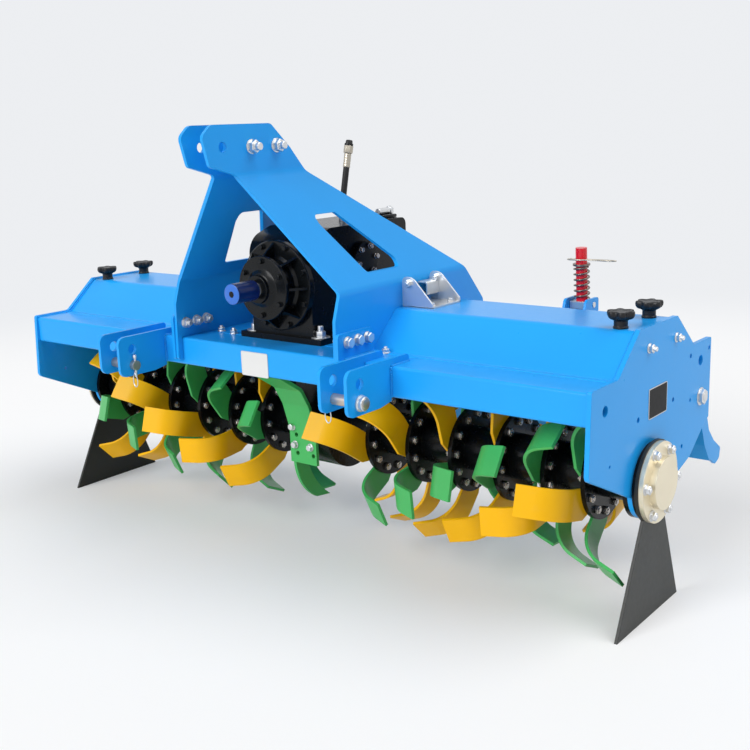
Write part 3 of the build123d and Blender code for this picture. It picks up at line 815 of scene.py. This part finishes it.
# %% Star knobs
hood_top = 0.718
star_centre, star_radius, star_height = (0, 0, 0.030), 0.0350, 0.024
waist = 0.66

clear_selection()
bpy.ops.mesh.primitive_cylinder_add(vertices=24, radius=star_radius, depth=star_height,
                                    location=star_centre)
star = bpy.context.object
pick(star, "VERT", lambda v: round(math.degrees(math.atan2(v.co.y, v.co.x)) / 15) % 4 == 2)
bpy.ops.transform.resize(value=(waist, waist, 1.0), center_override=star_centre)
bpy.ops.object.mode_set(mode="OBJECT")
pick(star, "FACE", lambda face: face.normal.z > 0.9)
bpy.ops.mesh.inset(thickness=0.004)
bpy.ops.mesh.inset(thickness=0.005)
bpy.ops.transform.translate(value=(0, 0, -0.003))
bpy.ops.object.mode_set(mode="OBJECT")
rounding = star.modifiers.new("rounding", "SUBSURF")
rounding.levels = 2
rounding.render_levels = 2
bpy.ops.object.modifier_apply(modifier="rounding")
stem = turned([(0.0180, 0.0), (0.0180, 0.004), (0.0165, 0.006), (0.0165, 0.018), (0.0240, 0.024)], 28)
knob_spots = [(x, y) for x in (0.941, -0.941) for y in (-0.069, 0.088)]
knob_places = [facing((x, y, hood_top), up, 40 * k) for k, (x, y) in enumerate(knob_spots)]
knobs = copies(joined([star, stem]), knob_places, "star_knobs", black_plastic, "frame")
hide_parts("hood_knobs")

# %% [markdown]
# ## The rod's spring
# The coil on the red rod is bare spring wire. A curve with a bevel could follow a long list of points
# on a helix. A Screw modifier needs only the wire's small circle: it winds it up around the rod, and
# the two open ends are filled.

# %% Rod spring
rod_place = Matrix.Translation((0.630, 0.353, 0.463)) @ Matrix.Rotation(math.radians(3.04), 4, "X")
spring_low, spring_height, spring_turns = 0.2405, 0.0925, 6

clear_selection()
bpy.ops.mesh.primitive_circle_add(vertices=10, radius=0.0026, location=(0.0205, 0, 0),
                                  rotation=(math.radians(90), 0, 0))
coil = bpy.context.object
bpy.ops.object.transform_apply(location=True, rotation=True, scale=True)
screw = coil.modifiers.new("winding", "SCREW")
screw.angle = math.radians(360 * spring_turns)
screw.screw_offset = spring_height
screw.steps = 144
screw.render_steps = 144
bpy.ops.object.modifier_apply(modifier="winding")
bpy.ops.object.mode_set(mode="EDIT")
bpy.ops.mesh.select_all(action="SELECT")
bpy.ops.mesh.remove_doubles(threshold=0.00001)
bpy.ops.mesh.fill_holes(sides=0)
bpy.ops.mesh.select_all(action="SELECT")
bpy.ops.mesh.normals_make_consistent(inside=False)
bpy.ops.object.mode_set(mode="OBJECT")
coil.matrix_world = rod_place @ Matrix.Translation((0, 0, spring_low))
settled(coil, "rod_coil", spring_steel, "frame", smooth=60)
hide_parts("rod_spring")

# %% [markdown]
# ## The rod's clip and washer
# A clip of bent wire goes through the rod, so that the rod can't drop out. The wire is a round line
# like the hose, made into a mesh. A steel washer covers the collar on which the spring presses.

# %% Wire clip and washer
def wire(points, radius, name, paint, body, closed=False):
    """A bent wire, as a mesh."""
    make_active(round_line(name, points, radius, 3, 8, closed))
    bpy.ops.object.convert(target="MESH")
    return settled(bpy.context.object, name, paint, body, smooth=60)


clip_points = [(0.596, 0.334, 0.815), (0.640, 0.334, 0.815), (0.700, 0.336, 0.816), (0.730, 0.334, 0.816),
               (0.741, 0.324, 0.817), (0.722, 0.314, 0.817), (0.682, 0.318, 0.817), (0.656, 0.314, 0.817),
               (0.634, 0.306, 0.817), (0.604, 0.310, 0.816), (0.590, 0.325, 0.815), (0.596, 0.338, 0.814)]
wire(clip_points, 0.0020, "rod_wire_clip", nickel, "rod")
washer = turned([(0.0238, 0.3362), (0.0243, 0.3366), (0.0243, 0.3410), (0.0238, 0.3414)], 28)
copies(washer, [rod_place], "rod_washer", spring_steel, "rod")

# %% [markdown]
# ## Hitch pins
# The tractor's lower links hold the machine by two pins. Each is kept in by a linch pin through its
# inner end, with a wire loop hanging from it. The outer end has a bright collar round a dark end face.
# The pins and collars are turned and the loops are closed wires, so the helpers above make them all.
# The linch pins stand upright, as they do in the photograph.

# %% Linch pins and collars
pin_y, pin_z = -0.448, 0.558
linch_x = 0.3595
linch_steps = [(0.0025, -0.034), (0.0033, -0.031), (0.0033, 0.020), (0.0058, 0.021), (0.0058, 0.028),
               (0.0045, 0.030)]
loop_shape = [(0, -0.448, 0.540), (-0.010, -0.450, 0.528), (-0.011, -0.451, 0.505), (0, -0.452, 0.493),
              (0.011, -0.453, 0.505), (0.010, -0.454, 0.528), (0, -0.455, 0.540)]

for x, name in ((linch_x, "right"), (-linch_x, "left")):
    zinc_bolts(turned(linch_steps, 14), [facing((x, pin_y, pin_z), up)], "linch_pin_" + name)
    loop = [(x + shift, y, z) for shift, y, z in loop_shape]
    wire(loop, 0.0014, "linch_loop_" + name, zinc, "frame", closed=True)
collar = turned([(0.0205, 0.0), (0.0205, 0.004), (0.0175, 0.005), (0.0175, 0.0148), (0.0160, 0.0165)], 32)
zinc_bolts(collar, on_both_sides([((0.459, pin_y, pin_z), right)]), "pin_collars")
end_face = turned([(0.0135, 0.0), (0.0135, 0.0012), (0.0125, 0.0016)], 32)
copies(end_face, on_both_sides([((0.4755, pin_y, pin_z), right)]), "pin_end_faces", pin_steel, "frame")

# %% [markdown]
# ## Plates
# A thin white plate sits on the beam and a small black one on the right end plate. A painted patch
# would have no thickness at its edge, so each is a thin slab with rounded corners. Its face is inset,
# and the rim round it has its own finish.

# %% Plates
def blank_plate(name, centre, size, out_axis, face_paint, rim):
    plate = slab(centre, size)
    thin = [abs(c) for c in out_axis].index(1)
    plate.data.materials.append(plate_rim)
    plate.data.materials.append(face_paint)
    bevel_edges(plate, lambda a, b: abs(a[thin] - b[thin]) > 0.5 * size[thin], 0.005, segments=4)
    pick(plate, "FACE", lambda face: face.normal.dot(Vector(out_axis)) > 0.9)
    bpy.ops.mesh.inset(thickness=rim)
    plate.active_material_index = 1
    bpy.ops.object.material_slot_assign()
    bpy.ops.object.mode_set(mode="OBJECT")
    settled(plate, name, None, "frame")


blank_plate("beam_plate", (-0.006, -0.3268, 0.576), (0.100, 0.0015, 0.068), front, plate_white, 0.0016)
blank_plate("end_plate_label", (1.0018, 0.0135, 0.5335), (0.0015, 0.105, 0.075), right, plate_black,
            0.0022)

# %% [markdown]
# ## The guard bar's holes
# The green bar in front of the gear case has three bolts and three spare holes. Dark discs would look
# painted on, so the holes are cut. The CAD mesh stays as it is: a copy of it is merged, a Boolean
# modifier cuts the holes, and the copy replaces the plain bar.

# %% Guard bar
hole_radius, bar_y = 0.0065, -0.185
spare_holes = [(0.007, 0.345), (0.009, 0.291), (0.068, 0.290)]
guard_bolts = [(-0.005, -0.1915, 0.368), (0.001, -0.190, 0.315), (0.059, -0.190, 0.315)]

bar = nodes["guard_bar"].copy()
bar.data = nodes["guard_bar"].data.copy()
bpy.context.collection.objects.link(bar)
make_active(bar)
bpy.ops.object.mode_set(mode="EDIT")
bpy.ops.mesh.select_all(action="SELECT")
bpy.ops.mesh.remove_doubles(threshold=0.00001)
bpy.ops.object.mode_set(mode="OBJECT")
for x, z in spare_holes:
    clear_selection()
    bpy.ops.mesh.primitive_cylinder_add(vertices=20, radius=hole_radius, depth=0.06,
                                        location=(x, bar_y, z), rotation=(math.radians(90), 0, 0))
    cutter = bpy.context.object
    make_active(bar)
    cut = bar.modifiers.new("hole", "BOOLEAN")
    cut.operation = "DIFFERENCE"
    cut.object = cutter
    bpy.ops.object.modifier_apply(modifier="hole")
    bpy.data.objects.remove(cutter)
settled(bar, "guard_bar_with_holes", green_paint, "frame")
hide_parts("guard_bar")
guard_bolt = bolt(across=0.017, height=0.009, washer=0.0115)
guard_places = [facing(place, front, 25 * k) for k, place in enumerate(guard_bolts)]
zinc_bolts(guard_bolt, guard_places, "guard_bar_bolts")

# %% [markdown]
# ## Welds
# The clevis cheeks, the mast feet and the hood's ends are welded on. A smooth bead could be swept along
# each seam, but a hand weld is a row of overlapping scales. One flattened scale is copied every five
# millimetres along each seam, and the paint of the frame covers it.

# %% Weld rows
weld_pitch, scale_radius = 0.005, 0.0038
weld_top = beam_top + 0.0005
seams = []
for x in (0.365, 0.461):
    seams += [((x, -0.327, 0.548), (x, -0.327, 0.620)), ((x, -0.322, weld_top), (x, -0.254, weld_top))]
seams += [
    ((0.3125, -0.3275, 0.566), (0.3125, -0.3275, 0.620)),
    ((0.3125, -0.322, weld_top), (0.3125, -0.210, weld_top)),
    ((0.988, -0.196, weld_top), (0.988, -0.093, 0.7165)),
    ((0.988, -0.322, weld_top), (0.988, -0.198, weld_top)),
    ((0.988, -0.088, 0.7185), (0.988, 0.118, 0.7185)),
]
scales = []
for start, end in seams:
    start, end = Vector(start), Vector(end)
    count = int((end - start).length / weld_pitch)
    scales += [start.lerp(end, k / count) for k in range(count + 1)]

clear_selection()
bpy.ops.mesh.primitive_uv_sphere_add(segments=8, ring_count=5, radius=scale_radius)
scale_shape = bpy.context.object
bpy.ops.object.mode_set(mode="EDIT")
bpy.ops.mesh.select_all(action="SELECT")
bpy.ops.transform.resize(value=(1.0, 1.0, 0.75))
bpy.ops.object.mode_set(mode="OBJECT")
weld_places = [Matrix.Translation(place) @ Matrix.Rotation(0.9 * k, 4, "Z") for k, place in enumerate(scales)]
weld_places += [Matrix.Translation((-place.x, place.y, place.z)) for place in scales]
copies(scale_shape, weld_places, "weld_rows", blue_gloss, "frame")

# %% [markdown]
# ## The shaft's end
# The input shaft is wrapped in blue film for the journey. Its end face is paler than its sides: the
# end face gets a lit copy of the film's colour, as painted light, and the sides a dark copy, as painted
# shade. The dark centre hole that the lathe left in the shaft is a black disc, painted shade for the
# hole. The CAD pieces have one finish each, so both are thin turned caps that ride on the shaft.

# %% Shaft end
shaft_end = facing((0, -0.4, shaft_z), front)
# The end face's cap gets the film's pale copy, as painted light.
film_steps = [(0.0262, 0.0), (0.0272, 0.0004), (0.0272, 0.0012), (0.0250, 0.0022), (0.0100, 0.0024)]
copies(turned(film_steps, 32), [shaft_end], "sleeve_end_film_painted_light", film_painted_light, "drive_shaft")
# A flat black disc on the end face stands for the centre hole's shade: painted shade, not a recess.
centre_hole = turned([(0.0085, 0.0), (0.0085, 0.0026), (0.0070, 0.0028)], 20)
copies(centre_hole, [shaft_end], "shaft_hole_painted_shade", black_gloss, "drive_shaft")

# %% [markdown]
# ## The lift brackets
# The zinc brackets beside the mast are folded from one sheet: a base with two ears, each with a short
# bolt. A Boolean could cut the ears' outline, but it needs a shape to cut with. So an ear starts as a
# thin slab, a bisect takes its outer corner off, and a bevel rounds its two upper corners.

# %% Lift brackets
bracket_x = 0.354
ear_bolt_spots = [(0.327, -0.064, 0.783), (0.327, 0.064, 0.783)]
base_bolt_spots = [(0.385, -0.040, 0.723), (0.385, 0.045, 0.723)]

for side, hand in ((1, "right"), (-1, "left")):
    folded = [slab((bracket_x * side, 0.002, 0.7205), (0.098, 0.132, 0.005))]
    for y in (-0.062, 0.066):
        ear = slab((bracket_x * side, y, 0.760), (0.098, 0.004, 0.080))
        cut_off(ear, (0.340 * side, y, 0.799), (0.728 * side, 0, 0.685))
        bevel_edges(ear, lambda a, b: abs(a.y - b.y) > 0.003 and min(a.z, b.z) > 0.79, 0.013)
        folded.append(ear)
    bracket = settled(joined(folded), "folded_bracket_" + hand, zinc, "frame")
    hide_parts("lift_bracket_" + hand)
ear_bolt = bolt(across=0.018, height=0.009, washer=0.011, thread=0.005, thread_end=0.003)
ear_places = on_both_sides([(spot, front) for spot in ear_bolt_spots])
zinc_bolts(ear_bolt, ear_places, "bracket_ear_bolts")
base_bolt = bolt(across=0.013, height=0.007, washer=0.009)
base_places = on_both_sides([(spot, up) for spot in base_bolt_spots])
zinc_bolts(base_bolt, base_places, "bracket_base_bolts")

# %% [markdown]
# ## The brackets' stubs
# Between a bracket's ears, a U-shaped stub is welded to the mast plate. It is a slab with two round
# edges that loses its ends and its inner side. A Solidify modifier gives what is left its thickness,
# which keeps the wall even round the bends.

# %% Bracket stubs
stubs = []
for side in (1, -1):
    stub = slab((0.3195 * side, 0.042, 0.759), (0.031, 0.066, 0.038))
    bevel_edges(stub, lambda a, b: abs(a.y - b.y) > 0.05 and side * (a.x + b.x) > 0.64, 0.007)
    pick(stub, "FACE", lambda face: abs(face.normal.y) > 0.9 or side * face.normal.x < -0.9)
    bpy.ops.mesh.delete(type="FACE")
    bpy.ops.object.mode_set(mode="OBJECT")
    wall = stub.modifiers.new("wall", "SOLIDIFY")
    wall.thickness = 0.004
    wall.offset = -1.0
    bpy.ops.object.modifier_apply(modifier="wall")
    stubs.append(stub)
settled(joined(stubs), "bracket_stubs", zinc, "frame")

# %% [markdown]
# ## Measuring and finishing
# The dressed machine shouldn't stand out of the CAD model's box, or it wouldn't fit where the part is
# used. So the box is measured again and its size is printed.

# %% Measure and finish
low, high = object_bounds()
print("shown size:", [round(c, 4) for c in high - low])
